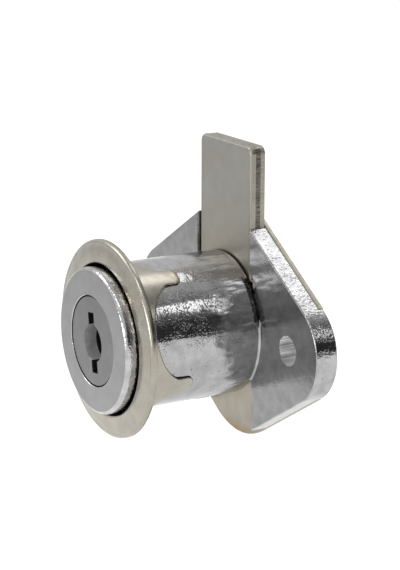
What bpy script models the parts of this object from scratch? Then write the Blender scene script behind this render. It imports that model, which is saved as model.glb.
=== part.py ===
"""Drawer lock with a straight sliding bolt, as separate solids. Metres, +Z up, the front faces -Y.

The origin is on the barrel's axis, in the plane of the flange's front face. The barrel runs forward
from there, through the drawer front, and the bolt rises behind it. Seen from the front, +X is right.
Run with Blender 4.5: blender --background --python part.py
"""

import math

import bmesh
import bpy

MM = 0.001

# Barrel and its front ring
BARREL_RADIUS = 9.5 * MM
BARREL_LENGTH = 19.26 * MM
RING_EDGE_RADIUS = 0.62 * MM
FRONT_Y = -BARREL_LENGTH

# Flange: two wings, each with a round tip around its screw hole
SCREW_HOLE_X = 15.86 * MM
SCREW_HOLE_RADIUS = 1.85 * MM
TIP_RADIUS = 6.67 * MM
EDGE_SLOPE = math.radians(31.83)
FLANGE_THICKNESS = 3.14 * MM
WING_THICKNESS = 2.36 * MM
RELIEF_RADIUS = 10.2 * MM
RELIEF_DEPTH = 0.6 * MM

# Back plate, seated in the flange's rear recess between the tips
PLATE_HALF_WIDTH = 19.0 * MM
PLATE_FRONT_Y = 2.5 * MM
PLATE_APEX_RADIUS = 10.76 * MM
PEG_PLACES = [(side * 10.9 * MM, height * 5.6 * MM) for side in (-1, 1) for height in (-1, 1)]
PEG_RADIUS = 0.85 * MM
PEG_HEAD_RADIUS = 1.4 * MM
PEG_HEAD_HEIGHT = 0.28 * MM

# Bolt and the channel that it slides in
BOLT_HALF_WIDTH = 6.4 * MM
BOLT_BASE_HALF_WIDTH = 7.2 * MM
BOLT_FRONT_Y = 0.27 * MM
BOLT_THICKNESS = 2.13 * MM
BOLT_TOP = 24.17 * MM
BOLT_SHOULDER = 7.0 * MM
BOLT_FOOT = -6.4 * MM
BOLT_FOOT_HALF_WIDTH = 4.0 * MM
BOLT_CORNER_RADIUS = 1.0 * MM
CHANNEL_GAP = 0.2 * MM

# Plug, turned by the key, and the eccentric pin that drives the bolt
PLUG_RADIUS = 5.78 * MM
PLUG_GAP = 0.13 * MM
PLUG_RECESS = 0.1 * MM
PLUG_CHAMFER = 0.15 * MM
PLUG_REAR_Y = -0.25 * MM
PLUG_TILT = math.radians(8)
NOSE_LENGTH = 2.36 * MM
KEYHOLE_RADIUS = 2.45 * MM
KEYWAY_HALF_WIDTH = 0.8 * MM
KEYWAY_HALF_HEIGHT = 3.9 * MM
KEYWAY_END_Y = -3.7 * MM
CRANK_RADIUS = 4.2 * MM
PIN_RADIUS = 1.1 * MM
PIN_END_Y = 2.2 * MM
CAM_SLOT_RADIUS = 2.1 * MM

# Wafers, their slots across the plug and their springs
WAFER_COUNT = 7
WAFER_PITCH = 1.95 * MM
WAFER_THICKNESS = 0.8 * MM
WAFER_RADIUS = 5.7 * MM
WAFER_HALF_WIDTH = 3.1 * MM
WAFER_LUG_END = 4.15 * MM
WAFER_LUG_BOTTOM = 0.3 * MM
WAFER_LUG_TOP = 1.1 * MM
WINDOW_HALF_WIDTH = 1.05 * MM
WINDOW_HALF_HEIGHT = 4.1 * MM
WINDOW_STEP = 0.2 * MM
SLOT_WIDTH = 1.1 * MM
SLOT_GAP = 0.15 * MM
SPRING_POCKET_END = 4.4 * MM
SPRING_POCKET_BOTTOM = -2.8 * MM
SPRING_POCKET_TOP = 1.9 * MM
SPRING_RADIUS = 0.36 * MM
SPRING_WIRE_RADIUS = 0.09 * MM
SPRING_CENTRE = 3.78 * MM
LOCKING_GROOVE_DEPTH = 1.1 * MM
LOCKING_GROOVE_FRONT = 2.0 * MM

# Retaining wafer, which keeps the plug in the barrel and stops it after half a turn
RETAINER_Y = -2.6 * MM
RETAINER_HALF_HEIGHT = 1.4 * MM
RETAINER_TIP = 6.5 * MM
RETAINER_INNER_END = 0.5 * MM
RETAINER_SLOT_END = 3.2 * MM
RETAINER_GROOVE_RADIUS = 6.9 * MM

# Rosette, pressed from sheet: a shallow dome, a collar round the barrel and four tabs
ROSETTE_INNER_RADIUS = 9.65 * MM
ROSETTE_SHEET = 0.38 * MM
ROSETTE_RIM_RADIUS = 12.82 * MM
ROSETTE_BEND_RADIUS = 0.45 * MM
ROSETTE_LIP_BEHIND_FRONT = 1.45 * MM
ROSETTE_SHOULDER_OUT = 1.3 * MM
ROSETTE_SHOULDER_DROP = 0.12 * MM
ROSETTE_RIM_FRONT = 1.9 * MM
ROSETTE_RIM_BACK = 2.6 * MM
TAB_COUNT = 4
TAB_FIRST_ANGLE = math.radians(60)
TAB_HALF_WIDTH = 1.2 * MM
TAB_TIP_BEHIND_FRONT = 9.85 * MM
SCALLOP_BEHIND_FRONT = 4.2 * MM
SCALLOP_RADIUS = 7.6 * MM

BARREL_SIDES = 72
PLUG_SIDES = 56
OVERRUN = 1.0 * MM  # how far a cutter reaches past the face that it opens


def make_material(name, colour, roughness, metallic=1.0):
    material = bpy.data.materials.new(name)
    material.use_nodes = True
    shader = material.node_tree.nodes["Principled BSDF"]
    shader.inputs["Base Color"].default_value = (*colour, 1.0)
    shader.inputs["Roughness"].default_value = roughness
    shader.inputs["Metallic"].default_value = metallic
    return material


def make_object(name, bm):
    """A new object from a bmesh of closed shells, with every face turned outwards."""
    bmesh.ops.recalc_face_normals(bm, faces=bm.faces)
    mesh = bpy.data.meshes.new(name)
    bm.to_mesh(mesh)
    bm.free()
    obj = bpy.data.objects.new(name, mesh)
    bpy.context.scene.collection.objects.link(obj)
    return obj


def arc(centre, radius, start, end, steps):
    """Points in the XZ plane from one angle to another, both included."""
    angles = [start + (end - start) * i / steps for i in range(steps + 1)]
    return [(centre[0] + radius * math.cos(a), centre[1] + radius * math.sin(a)) for a in angles]


def circle(radius, steps, centre=(0, 0)):
    return arc(centre, radius, 0, 2 * math.pi, steps)[:-1]


def rectangle(left, right, bottom, top):
    return [(left, bottom), (right, bottom), (right, top), (left, top)]


def add_prism(bm, outline, front, back):
    """Extrudes an XZ outline from one Y to another inside a bmesh."""
    rings = [[bm.verts.new((x, y, z)) for x, z in outline] for y in (front, back)]
    for ring in rings:
        bm.faces.new(ring)
    for i in range(len(outline)):
        j = (i + 1) % len(outline)
        bm.faces.new((rings[0][i], rings[0][j], rings[1][j], rings[1][i]))


def prism(name, outline, front, back):
    bm = bmesh.new()
    add_prism(bm, outline, front, back)
    return make_object(name, bm)


def join_columns(bm, columns, closed_profile):
    """Faces between neighbouring columns of vertices, which run once round the Y axis."""
    rows = len(columns[0])
    steps = rows if closed_profile else rows - 1
    for i, column in enumerate(columns):
        after = columns[(i + 1) % len(columns)]
        for j in range(steps):
            k = (j + 1) % rows
            corners = list(dict.fromkeys((column[j], column[k], after[k], after[j])))
            if len(corners) > 2:
                bm.faces.new(corners)


def lathe(name, profile, sides, centre=(0, 0)):
    """Turns a profile of (radius, y) points, which starts and ends on the axis."""
    bm = bmesh.new()
    columns = []
    for i in range(sides):
        angle = 2 * math.pi * i / sides
        column = []
        for j, (radius, y) in enumerate(profile):
            if radius == 0 and columns:
                column.append(columns[0][j])
                continue
            x = centre[0] + radius * math.cos(angle)
            column.append(bm.verts.new((x, y, centre[1] + radius * math.sin(angle))))
        columns.append(column)
    join_columns(bm, columns, closed_profile=False)
    return make_object(name, bm)


def combine(target, tool, operation):
    """Applies a Boolean of target and tool to target, and removes the tool."""
    modifier = target.modifiers.new(operation, "BOOLEAN")
    modifier.operation = operation
    modifier.solver = "EXACT"
    modifier.object = tool
    bpy.context.view_layer.update()
    evaluated = target.evaluated_get(bpy.context.evaluated_depsgraph_get())
    result = bpy.data.meshes.new_from_object(evaluated)
    target.modifiers.clear()
    before = target.data
    target.data = result
    bpy.data.meshes.remove(before)
    bpy.data.objects.remove(tool)


def cut(target, tool):
    combine(target, tool, "DIFFERENCE")


def fuse(target, tool):
    combine(target, tool, "UNION")


def finish(obj, material):
    """Gives the object its one material, and smooth shading that stays sharp at real edges."""
    obj.data.materials.clear()
    obj.data.materials.append(material)
    obj.data.shade_smooth()
    obj.data.set_sharp_from_angle(angle=math.radians(30))
    return obj


def edge_height(x):
    """Height of the flange's straight sloping edge at x, before any corner is rounded."""
    apex = SCREW_HOLE_X * math.tan(EDGE_SLOPE) + TIP_RADIUS / math.cos(EDGE_SLOPE)
    return apex - abs(x) * math.tan(EDGE_SLOPE)


def diamond_apex(steps):
    """Round top of the diamond, from its right end to its left."""
    lean = math.pi / 2 - EDGE_SLOPE
    centre = edge_height(0) - PLATE_APEX_RADIUS / math.cos(EDGE_SLOPE)
    return arc((0, centre), PLATE_APEX_RADIUS, lean, math.pi - lean, steps)


def flange_outline():
    """Diamond with round tips at the screw holes; the bolt's channel takes its apexes away."""
    lean = math.pi / 2 - EDGE_SLOPE
    half = arc((SCREW_HOLE_X, 0), TIP_RADIUS, -lean, lean, 14) + diamond_apex(2)
    return half + [(-x, -z) for x, z in half]


def channel_outline(low, high):
    """The bolt's channel: wide below its shoulders and narrow above them, with running gaps."""
    wide = BOLT_BASE_HALF_WIDTH + CHANNEL_GAP
    narrow = BOLT_HALF_WIDTH + CHANNEL_GAP
    step = BOLT_SHOULDER + CHANNEL_GAP
    right = [(wide, low), (wide, step), (narrow, step), (narrow, high)]
    return right + [(-x, z) for x, z in reversed(right)]


def make_peg(place):
    """Cast peg that goes through the back plate and is peened over behind it."""
    root = WING_THICKNESS - 0.5 * MM
    head = FLANGE_THICKNESS + 0.1 * MM
    profile = [
        (0, root),
        (PEG_RADIUS, root),
        (PEG_RADIUS, head),
        (PEG_HEAD_RADIUS, head),
        (PEG_HEAD_RADIUS * 0.8, head + PEG_HEAD_HEIGHT),
        (0, head + PEG_HEAD_HEIGHT),
    ]
    return lathe("peg", profile, 12, place)


def make_retainer_groove():
    """Half-turn groove in the bore for the retaining wafer's tip, over the top from left to right."""
    margin = math.asin((RETAINER_HALF_HEIGHT + CHANNEL_GAP) / PLUG_RADIUS)
    start = PLUG_TILT - margin
    end = PLUG_TILT + math.pi + margin
    inner = PLUG_RADIUS - 0.5 * MM
    outline = arc((0, 0), RETAINER_GROOVE_RADIUS, start, end, 28) + arc((0, 0), inner, end, start, 28)
    half = SLOT_WIDTH / 2 + 0.1 * MM
    return prism("retainer_groove", outline, RETAINER_Y - half, RETAINER_Y + half)


def make_housing(material):
    """Die-cast barrel and flange in one piece, with the bore, the bolt's channel and the pegs."""
    far = 30 * MM
    housing = prism("housing", flange_outline(), 0, FLANGE_THICKNESS)
    seat = rectangle(-PLATE_HALF_WIDTH - SLOT_GAP, PLATE_HALF_WIDTH + SLOT_GAP, -far, far)
    cut(housing, prism("plate_seat", seat, WING_THICKNESS, far))
    cut(housing, prism("relief", circle(RELIEF_RADIUS, BARREL_SIDES), -far, RELIEF_DEPTH))
    edge_centre = (BARREL_RADIUS - RING_EDGE_RADIUS, FRONT_Y + RING_EDGE_RADIUS)
    rear = WING_THICKNESS - 0.6 * MM
    profile = [(0, FRONT_Y)]
    profile += arc(edge_centre, RING_EDGE_RADIUS, -math.pi / 2, 0, 5)
    profile += [(BARREL_RADIUS, rear), (0, rear)]
    fuse(housing, lathe("barrel", profile, BARREL_SIDES))
    for place in PEG_PLACES:
        fuse(housing, make_peg(place))
    cut(housing, prism("channel", channel_outline(-far, far), -0.02 * MM, far))
    bore = circle(PLUG_RADIUS + PLUG_GAP, PLUG_SIDES)
    cut(housing, prism("bore", bore, FRONT_Y - OVERRUN, far))
    reach = PLUG_RADIUS + PLUG_GAP + LOCKING_GROOVE_DEPTH
    half = WAFER_HALF_WIDTH + 2 * SLOT_GAP
    front = FRONT_Y + LOCKING_GROOVE_FRONT
    locking_grooves = prism("locking_grooves", rectangle(-half, half, -reach, reach), front, OVERRUN)
    locking_grooves.rotation_euler.y = -PLUG_TILT
    cut(housing, locking_grooves)
    cut(housing, make_retainer_groove())
    for side in (-1, 1):
        hole = circle(SCREW_HOLE_RADIUS, 24, (side * SCREW_HOLE_X, 0))
        cut(housing, prism("screw_hole", hole, -OVERRUN, FLANGE_THICKNESS + OVERRUN))
    return finish(housing, material)


def make_back_plate(material):
    """Flat stamping that closes the bolt's channel from behind, cut straight at both ends."""
    end_z = edge_height(PLATE_HALF_WIDTH)
    apex = diamond_apex(12)
    outline = [(PLATE_HALF_WIDTH, -end_z), (PLATE_HALF_WIDTH, end_z)] + apex
    outline += [(-x, -z) for x, z in outline]
    plate = prism("back_plate", outline, PLATE_FRONT_Y, FLANGE_THICKNESS)
    holes = [(SCREW_HOLE_RADIUS, 24, (side * SCREW_HOLE_X, 0)) for side in (-1, 1)]
    holes += [(PEG_RADIUS + SLOT_GAP, 12, place) for place in PEG_PLACES]
    for radius, sides, centre in holes:
        cut(plate, prism("hole", circle(radius, sides, centre), 0, FLANGE_THICKNESS + OVERRUN))
    return finish(plate, material)


def make_bolt(material):
    """Flat steel bolt with shoulders that stop it, and the slot that the plug's pin runs in."""
    foot_rise = (BOLT_BASE_HALF_WIDTH - BOLT_FOOT_HALF_WIDTH) * math.tan(EDGE_SLOPE)
    corner = (BOLT_HALF_WIDTH - BOLT_CORNER_RADIUS, BOLT_TOP - BOLT_CORNER_RADIUS)
    right = [
        (BOLT_FOOT_HALF_WIDTH, BOLT_FOOT),
        (BOLT_BASE_HALF_WIDTH, BOLT_FOOT + foot_rise),
        (BOLT_BASE_HALF_WIDTH, BOLT_SHOULDER),
        (BOLT_HALF_WIDTH, BOLT_SHOULDER),
    ]
    right += arc(corner, BOLT_CORNER_RADIUS, 0, math.pi / 2, 5)
    outline = right + [(-x, z) for x, z in reversed(right)]
    back = BOLT_FRONT_Y + BOLT_THICKNESS
    bolt = prism("bolt", outline, BOLT_FRONT_Y, back)
    slot_right = (CRANK_RADIUS + PIN_RADIUS + SLOT_GAP - CAM_SLOT_RADIUS, CRANK_RADIUS)
    slot_left = (CAM_SLOT_RADIUS - PIN_RADIUS - 2 * SLOT_GAP, CRANK_RADIUS)
    quarter = math.pi / 2
    slot = arc(slot_right, CAM_SLOT_RADIUS, -quarter, quarter, 12)
    slot += arc(slot_left, CAM_SLOT_RADIUS, quarter, 3 * quarter, 12)
    cut(bolt, prism("cam_slot", slot, BOLT_FRONT_Y - OVERRUN, back + OVERRUN))
    return finish(bolt, material)


def wafer_y(index):
    """Y of the middle of a wafer, the first one just behind the plug's nose."""
    return FRONT_Y + NOSE_LENGTH + SLOT_WIDTH / 2 + index * WAFER_PITCH


def make_plug(material):
    """Plug with the keyhole, a slot and spring pocket for each wafer, and the eccentric pin."""
    face = FRONT_Y + PLUG_RECESS
    profile = [
        (0, face),
        (PLUG_RADIUS - PLUG_CHAMFER, face),
        (PLUG_RADIUS, face + PLUG_CHAMFER),
        (PLUG_RADIUS, PLUG_REAR_Y),
        (0, PLUG_REAR_Y),
    ]
    plug = lathe("plug", profile, PLUG_SIDES)
    pin_centre = (CRANK_RADIUS * math.sin(PLUG_TILT), CRANK_RADIUS * math.cos(PLUG_TILT))
    fuse(plug, prism("pin", circle(PIN_RADIUS, 16, pin_centre), PLUG_REAR_Y - OVERRUN, PIN_END_Y))
    before_face = FRONT_Y - OVERRUN
    cut(plug, prism("keyhole", circle(KEYHOLE_RADIUS, 32), before_face, FRONT_Y + NOSE_LENGTH + 0.3 * MM))
    keyway = rectangle(-KEYWAY_HALF_WIDTH, KEYWAY_HALF_WIDTH, -KEYWAY_HALF_HEIGHT, KEYWAY_HALF_HEIGHT)
    cut(plug, prism("keyway", keyway, before_face, KEYWAY_END_Y))
    half = WAFER_HALF_WIDTH + SLOT_GAP
    reach = PLUG_RADIUS + OVERRUN
    slot = [
        (half, -reach),
        (half, reach),
        (-half, reach),
        (-half, SPRING_POCKET_TOP),
        (-SPRING_POCKET_END, SPRING_POCKET_TOP),
        (-SPRING_POCKET_END, SPRING_POCKET_BOTTOM),
        (-half, SPRING_POCKET_BOTTOM),
        (-half, -reach),
    ]
    bm = bmesh.new()
    for index in range(WAFER_COUNT):
        middle = wafer_y(index)
        add_prism(bm, slot, middle - SLOT_WIDTH / 2, middle + SLOT_WIDTH / 2)
    half_height = RETAINER_HALF_HEIGHT + SLOT_GAP
    retainer_slot = rectangle(-reach, RETAINER_SLOT_END, -half_height, half_height)
    add_prism(bm, retainer_slot, RETAINER_Y - SLOT_WIDTH / 2, RETAINER_Y + SLOT_WIDTH / 2)
    cut(plug, make_object("slots", bm))
    plug.rotation_euler.y = -PLUG_TILT
    return finish(plug, material)


def make_wafer(index, plug, material):
    """Sheet wafer with a window for the key and a lug on its left for the spring."""
    corner = math.acos(WAFER_HALF_WIDTH / WAFER_RADIUS)
    outline = arc((0, 0), WAFER_RADIUS, corner, math.pi - corner, 8)
    outline += [
        (-WAFER_HALF_WIDTH, WAFER_LUG_TOP),
        (-WAFER_LUG_END, WAFER_LUG_TOP),
        (-WAFER_LUG_END, WAFER_LUG_BOTTOM),
        (-WAFER_HALF_WIDTH, WAFER_LUG_BOTTOM),
    ]
    outline += arc((0, 0), WAFER_RADIUS, math.pi + corner, 2 * math.pi - corner, 8)
    half = WAFER_THICKNESS / 2
    wafer = prism(f"wafer_{index + 1}", outline, -half, half)
    shift = WINDOW_STEP * ((index * 2) % 3 - 1)
    window = rectangle(
        -WINDOW_HALF_WIDTH, WINDOW_HALF_WIDTH, shift - WINDOW_HALF_HEIGHT, shift + WINDOW_HALF_HEIGHT
    )
    cut(wafer, prism("window", window, -OVERRUN, OVERRUN))
    wafer.parent = plug
    wafer.location.y = wafer_y(index)
    return finish(wafer, material)


def make_coil(name, length, material):
    """Compression spring along +Z from the origin: a round wire swept up a helix."""
    turns, steps_per_turn, wire_sides = 5, 9, 4
    steps = turns * steps_per_turn
    rise = length - 2 * SPRING_WIRE_RADIUS
    bm = bmesh.new()
    rings = []
    for i in range(steps + 1):
        angle = 2 * math.pi * i / steps_per_turn
        height = SPRING_WIRE_RADIUS + rise * i / steps
        ring = []
        for k in range(wire_sides):
            around = 2 * math.pi * k / wire_sides
            radius = SPRING_RADIUS + SPRING_WIRE_RADIUS * math.cos(around)
            z = height + SPRING_WIRE_RADIUS * math.sin(around)
            ring.append(bm.verts.new((radius * math.cos(angle), radius * math.sin(angle), z)))
        rings.append(ring)
    for ring, after in zip(rings, rings[1:]):
        for k in range(wire_sides):
            j = (k + 1) % wire_sides
            bm.faces.new((ring[k], ring[j], after[j], after[k]))
    bm.faces.new(rings[0])
    bm.faces.new(rings[-1])
    return finish(make_object(name, bm), material)


def make_wafer_spring(index, plug, material):
    bottom = SPRING_POCKET_BOTTOM + SLOT_GAP
    spring = make_coil(f"wafer_spring_{index + 1}", WAFER_LUG_BOTTOM - SLOT_GAP - bottom, material)
    spring.parent = plug
    spring.location = (-SPRING_CENTRE, wafer_y(index), bottom)


def make_retainer(plug, wafer_material, spring_material):
    """Wafer whose tip stands out of the plug to the left, and the spring that pushes it there."""
    tip = math.asin(RETAINER_HALF_HEIGHT / RETAINER_TIP)
    outline = arc((0, 0), RETAINER_TIP, math.pi - tip, math.pi + tip, 4)
    outline += [(RETAINER_INNER_END, -RETAINER_HALF_HEIGHT), (RETAINER_INNER_END, RETAINER_HALF_HEIGHT)]
    half = WAFER_THICKNESS / 2
    retainer = prism("retainer_wafer", outline, -half, half)
    retainer.parent = plug
    retainer.location.y = RETAINER_Y
    finish(retainer, wafer_material)
    start = RETAINER_INNER_END + SLOT_GAP
    spring = make_coil("retainer_spring", RETAINER_SLOT_END - SLOT_GAP - start, spring_material)
    spring.parent = plug
    spring.location = (start, RETAINER_Y, 0)
    spring.rotation_euler.y = math.pi / 2


def tab_edge():
    """(distance round the collar, y) along a quarter of the collar's end, from one tab to the next."""
    spacing = 2 * math.pi * ROSETTE_INNER_RADIUS / TAB_COUNT
    tip_centre = TAB_TIP_BEHIND_FRONT - TAB_HALF_WIDTH
    points = [(s, y) for s, y in arc((0, tip_centre), TAB_HALF_WIDTH, math.pi / 2, 0.12, 5)]
    reach = spacing / 2 - TAB_HALF_WIDTH - 0.03 * MM
    steps = 7
    half = []
    for i in range(steps + 1):
        off = reach * (1 - i / steps)
        y = SCALLOP_BEHIND_FRONT + SCALLOP_RADIUS - math.sqrt(SCALLOP_RADIUS**2 - off**2)
        half.append((spacing / 2 - off, y))
    points += half
    return points + [(spacing - s, y) for s, y in reversed(points[1:-1])]


def rosette_profile(end):
    """Closed (radius, y) section of the sheet, from the collar's end forward, out and back."""
    inner = ROSETTE_INNER_RADIUS
    outer = inner + ROSETTE_SHEET
    bend = ROSETTE_BEND_RADIUS
    lip = FRONT_Y + ROSETTE_LIP_BEHIND_FRONT
    rim_front = FRONT_Y + ROSETTE_RIM_FRONT
    rim_back = FRONT_Y + ROSETTE_RIM_BACK
    rim = ROSETTE_RIM_RADIUS
    shoulder = (rim - ROSETTE_SHOULDER_OUT, lip + ROSETTE_SHOULDER_DROP)
    points = [(inner, end)]
    points += arc((inner + bend, lip + bend), bend, math.pi, 1.5 * math.pi, 3)
    points += [shoulder, (rim - 0.35 * MM, rim_front - 0.12 * MM)]
    points += [(rim, rim_front + 0.12 * MM), (rim, rim_back), (rim - 0.45 * MM, rim_back)]
    points += [(shoulder[0], shoulder[1] + 1.3 * ROSETTE_SHEET)]
    points += [(outer + 0.5 * MM, lip + 1.35 * ROSETTE_SHEET), (outer, lip + bend + ROSETTE_SHEET)]
    return points + [(outer, end)]


def make_rosette(material):
    bm = bmesh.new()
    columns = []
    edge = tab_edge()
    for tab in range(TAB_COUNT):
        for distance, behind in edge:
            angle = TAB_FIRST_ANGLE + 2 * math.pi * tab / TAB_COUNT + distance / ROSETTE_INNER_RADIUS
            profile = rosette_profile(FRONT_Y + behind)
            columns.append([bm.verts.new((r * math.cos(angle), y, r * math.sin(angle))) for r, y in profile])
    join_columns(bm, columns, closed_profile=True)
    return finish(make_object("rosette", bm), material)


def main():
    for obj in list(bpy.data.objects):
        bpy.data.objects.remove(obj)
    zinc = make_material("chromed_zinc", (0.62, 0.62, 0.63), 0.22)
    satin_zinc = make_material("satin_zinc", (0.5, 0.5, 0.51), 0.4)
    nickel = make_material("nickel_plate", (0.62, 0.57, 0.5), 0.35)
    brass = make_material("brass", (0.78, 0.58, 0.3), 0.35)
    spring_steel = make_material("spring_steel", (0.45, 0.45, 0.46), 0.3)
    make_housing(zinc)
    make_back_plate(nickel)
    make_bolt(nickel)
    make_rosette(nickel)
    plug = make_plug(satin_zinc)
    for index in range(WAFER_COUNT):
        make_wafer(index, plug, brass)
        make_wafer_spring(index, plug, spring_steel)
    make_retainer(plug, brass, spring_steel)


main()
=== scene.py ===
"""Looks for the drawer lock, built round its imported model. Metres, +Z up, the front faces -Y."""

import math

import bmesh
import bpy
from mathutils import Matrix, Vector, noise


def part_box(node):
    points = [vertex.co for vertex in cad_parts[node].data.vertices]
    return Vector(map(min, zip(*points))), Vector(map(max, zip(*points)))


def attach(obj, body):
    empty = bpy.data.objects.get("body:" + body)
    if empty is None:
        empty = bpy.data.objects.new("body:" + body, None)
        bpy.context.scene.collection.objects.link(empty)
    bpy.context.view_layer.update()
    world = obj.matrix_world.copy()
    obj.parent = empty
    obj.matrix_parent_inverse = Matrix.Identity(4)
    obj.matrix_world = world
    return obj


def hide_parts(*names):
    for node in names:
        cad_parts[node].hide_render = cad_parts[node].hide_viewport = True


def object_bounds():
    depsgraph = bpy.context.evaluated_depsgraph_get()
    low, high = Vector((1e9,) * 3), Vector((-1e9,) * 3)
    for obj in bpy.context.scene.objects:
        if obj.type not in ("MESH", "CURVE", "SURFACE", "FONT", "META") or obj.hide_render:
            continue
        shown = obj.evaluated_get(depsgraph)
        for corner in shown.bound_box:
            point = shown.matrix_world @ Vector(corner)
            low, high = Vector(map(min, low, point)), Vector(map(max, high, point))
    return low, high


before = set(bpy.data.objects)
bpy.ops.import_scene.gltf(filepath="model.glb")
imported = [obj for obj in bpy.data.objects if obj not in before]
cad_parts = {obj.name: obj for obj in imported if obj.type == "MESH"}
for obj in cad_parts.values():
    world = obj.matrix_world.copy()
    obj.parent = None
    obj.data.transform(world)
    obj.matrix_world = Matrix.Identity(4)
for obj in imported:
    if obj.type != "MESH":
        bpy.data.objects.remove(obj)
cad_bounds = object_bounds()

MM = 0.001

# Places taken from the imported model
FRONT_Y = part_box("housing")[0].y
FLANGE_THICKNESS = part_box("back_plate")[1].y
PLATE_FRONT_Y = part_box("back_plate")[0].y
PLATE_HALF_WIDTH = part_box("back_plate")[1].x
BOLT_LOW, BOLT_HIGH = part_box("bolt")
RIM_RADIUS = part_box("rosette")[1].x

# Barrel and flange
BARREL_RADIUS = 9.5 * MM
RING_EDGE_RADIUS = 0.62 * MM
SCREW_HOLE_X = 15.86 * MM
SCREW_HOLE_RADIUS = 1.85 * MM
TIP_RADIUS = 6.67 * MM
EDGE_SLOPE = math.radians(31.83)
WING_THICKNESS = 2.36 * MM
RELIEF_RADIUS = 10.4 * MM
RELIEF_DEPTH = 0.7 * MM
RELIEF_END_ANGLE = math.radians(12)
FOOT_FILLET = 0.35 * MM
FOOT_SINK = 0.03 * MM
FOOT_FADE_SINE = 0.1
FOOT_FADE_WIDTH = 0.2 * MM
BARREL_ROWS = 64
BARREL_ROOT = 0.6 * MM
CAST_ROUNDING = 0.22 * MM
CAST_REAR_ROUNDING = 0.3 * MM
CAST_WAVE_HEIGHT, CAST_WAVE_SIZE = 0.012 * MM, 1.7 * MM
CAST_RIPPLE_HEIGHT, CAST_RIPPLE_SIZE = 0.004 * MM, 0.6 * MM
DRAW_MARK_HEIGHT, DRAW_MARK_SIZE = 0.09 * MM, 0.6 * MM
# Eased edges, as steps of (growth, depth)
RELIEF_EDGE = ((0.12 * MM, 0), (0.03 * MM, 0.05 * MM), (0, 0.14 * MM))
BORE_EDGE = ((0.07 * MM, 0), (0, 0.07 * MM))
SCREW_HOLE_EDGE = ((0.14 * MM, 0), (0.04 * MM, 0.05 * MM), (0, 0.16 * MM))

# Back plate and the pegs that hold it
PLATE_APEX_RADIUS = 10.76 * MM
PEG_PLACES = [(side * 10.9 * MM, height * 5.6 * MM) for side in (-1, 1) for height in (-1, 1)]
PEG_RADIUS = 0.85 * MM
PEG_HEAD_RADIUS = 1.4 * MM
PEG_HEAD_HEIGHT = 0.28 * MM
PEG_ROOT = 0.5 * MM
PEG_NECK = 0.1 * MM
PLATE_FRONT_ROUNDING = 0.2 * MM
PLATE_REAR_ROUNDING = 0.05 * MM
PLATE_HOLE_CHAMFER = 0.1 * MM
SHEARED_HEIGHT, SHEARED_SIZE = 0.012 * MM, 0.35 * MM

# Bolt and channel
BOLT_HALF_WIDTH = 6.4 * MM
BOLT_SHOULDER = 7.0 * MM
BOLT_FOOT_HALF_WIDTH = 4.0 * MM
BOLT_CORNER_RADIUS = 1.0 * MM
BOLT_FRONT_ROUNDING = 0.42 * MM
BOLT_REAR_ROUNDING = 0.12 * MM
TEAR_DEPTH = 0.04 * MM
TEAR_START_DEPTH = 0.05 * MM
TEAR_ROUGHNESS, TEAR_SIZE = 0.06 * MM, 0.2 * MM
TEAR_ROWS = 6
CHANNEL_GAP = 0.2 * MM
CHANNEL_FRONT_Y = -0.02 * MM

# Plug
PLUG_RADIUS = 5.78 * MM
BORE_RADIUS = 5.91 * MM
PLUG_RECESS = 0.1 * MM
PLUG_REAR_Y = -0.25 * MM
PLUG_EDGE_ROUNDING = 0.14 * MM
PLUG_TILT = math.radians(8)
NOSE_LENGTH = 2.36 * MM
KEYHOLE_RADIUS = 2.45 * MM
KEYHOLE_DROP = 0.23 * MM
KEYHOLE_LIT_DEPTH = 1.75 * MM
KEYHOLE_CHAMFER = 0.06 * MM
KEYHOLE_UNDERCUT = 0.2 * MM
KEYWAY_HALF_WIDTH = 0.8 * MM
KEYWAY_HALF_HEIGHT = 3.9 * MM
KEYWAY_END_Y = -3.7 * MM
CRANK_RADIUS = 4.2 * MM
PIN_RADIUS = 1.1 * MM
PIN_END_Y = 2.2 * MM
PIN_ROUNDING = 0.15 * MM
CAM_SLOT_RADIUS = 2.1 * MM
WAFER_COUNT = 7
WAFER_PITCH = 1.95 * MM
WAFER_HALF_WIDTH = 3.1 * MM
SLOT_WIDTH = 1.1 * MM
SLOT_GAP = 0.15 * MM
SPRING_POCKET_END = 4.4 * MM
SPRING_POCKET_BOTTOM = -2.8 * MM
SPRING_POCKET_TOP = 1.9 * MM
LOCKING_GROOVE_DEPTH = 1.1 * MM
LOCKING_GROOVE_FRONT = 2.0 * MM
RETAINER_Y = -2.6 * MM
RETAINER_HALF_HEIGHT = 1.4 * MM
RETAINER_SLOT_END = 3.2 * MM
RETAINER_GROOVE_RADIUS = 6.9 * MM
RETAINER_GROOVE_OVERLAP = 0.5 * MM
RETAINER_GROOVE_GAP = 0.1 * MM

# Rosette
ROSETTE_INNER_RADIUS = 9.65 * MM
ROSETTE_SHEET = 0.38 * MM
COLLAR_FLARE = 0.12 * MM
TAB_PINCH = 0.1 * MM
TAB_THINNING = 0.1 * MM
EDGE_ROUNDING = 0.14 * MM
ROSETTE_LIP_Y = FRONT_Y + 1.45 * MM
ROSETTE_RIM_BACK_Y = FRONT_Y + 2.6 * MM
TAB_COUNT = 4
TAB_FIRST_ANGLE = math.radians(60)
TAB_HALF_WIDTH = 1.2 * MM
TAB_CORNER = 0.75 * MM
TAB_FILLET = 1.2 * MM
TAB_DRAFT = 0.03 * MM
TAB_TIP_Y = FRONT_Y + 9.85 * MM
SCALLOP_Y = FRONT_Y + 4.2 * MM
SCALLOP_RADIUS = 7.6 * MM
SERRATIONS = 320
SERRATION_DEPTH = 0.06
SERRATION_VARIATION = 0.03
COLLAR_START_Y = ROSETTE_LIP_Y + 0.8 * MM
COLLAR_ROWS = 14
ROSETTE_WAVE_HEIGHT, ROSETTE_WAVE_SIZE = 0.015 * MM, 3.5 * MM
EDGE_STEPS = 6
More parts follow.
